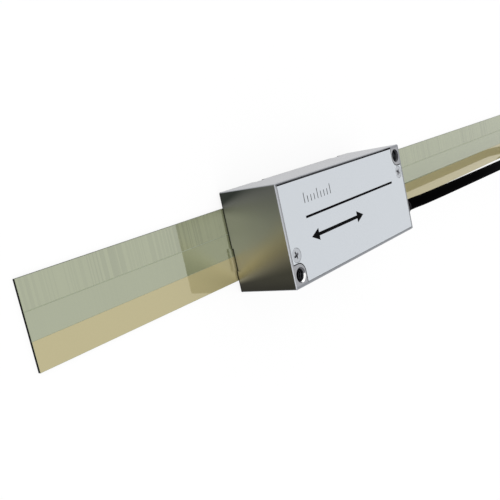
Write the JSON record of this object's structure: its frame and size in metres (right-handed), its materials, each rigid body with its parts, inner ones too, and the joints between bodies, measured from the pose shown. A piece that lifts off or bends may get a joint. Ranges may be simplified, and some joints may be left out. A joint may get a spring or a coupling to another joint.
{
  "type": "linear glass scale",
  "caption": "Exposed linear encoder: a slim glass scale strip with graduated tracks, a box-shaped scanning head that slides along it, and a lead with a round connector.",
  "frame": {"origin": "centre of the strip's mounting face, under its adhesive film", "axes": "+X along the scale towards the lead's side, +Y across the strip, +Z out of the glass to the head"},
  "size_m": [0.34, 0.0442, 0.0148],
  "materials": {
    "glass": "clear float glass with dark cut edges",
    "code_layer": "green-grey chromium graduation, faint vertical code lines",
    "incremental_layer": "green-grey chromium graduation, very fine",
    "reference_layer": "straw-yellow mirror layer",
    "film": "thin dark bonding film",
    "housing": "fine brushed, clear anodised",
    "cover": "satin pale grey plate",
    "steel": "stainless screws and clips",
    "seal_rubber": "black elastomer",
    "optics_plastic": "black moulded carrier",
    "optics_glass": "clear optical glass",
    "circuit_board": "green solder mask",
    "chip_plastic": "black moulded packages",
    "lamp_epoxy": "clear lamp epoxy on a white base",
    "flex_film": "amber polyimide",
    "core_insulation": "core insulation",
    "cable_jacket": "black polyurethane jacket",
    "connector_plastic": "black glass-filled nylon",
    "connector_metal": "nickel-plated brass",
    "contact_gold": "gold-plated contacts"
  },
  "bodies": {
    "scale": {"adhesive_film": "film", "glass_strip": "glass", "reference_band": "reference_layer", "incremental_track": "incremental_layer", "absolute_track": "code_layer"},
    "head": {"head_housing": "housing", "cover_gasket": "seal_rubber", "front_cover": "cover", "cover_screws": "steel", "scanning_window": "optics_glass", "optics_carrier": "optics_plastic", "scanning_reticle": "optics_glass", "condenser_lens": "optics_glass", "light_source": "lamp_epoxy", "photo_sensor": "chip_plastic", "optics_board": "circuit_board", "optics_screws": "steel", "main_board": "circuit_board", "board_screws": "steel", "signal_chip": "chip_plastic", "board_components": "chip_plastic", "flex_ribbon": "flex_film", "bend_relief": "seal_rubber", "cable_entry": "cable_jacket", "cable_clamp": "steel", "clamp_screw": "steel", "lead_cores": "core_insulation", "board_socket": "connector_plastic", "cable_run": "cable_jacket", "cable_hank": "cable_jacket", "cable_tie": "connector_plastic", "cable_tail": "cable_jacket", "plug_back_nut": "connector_plastic", "plug_seal": "seal_rubber", "plug_cable_end": "cable_jacket", "plug_shell": "connector_plastic", "contact_carrier": "connector_plastic", "contact_pins": "contact_gold", "plug_o_ring": "seal_rubber"},
    "coupling": {"coupling_nut": "connector_metal"}
  },
  "joints": [
    {"name": "head_slide", "type": "slide", "parent": "scale", "child": "head", "axis": [1, 0, 0], "range_m": [-0.0534, 0.2466]},
    {"name": "coupling_spin", "type": "hinge", "parent": "head", "child": "coupling", "pos_m": [0.1546, -0.01606, 0.00725], "axis": [1, 0, 0], "continuous": true}
  ]
}
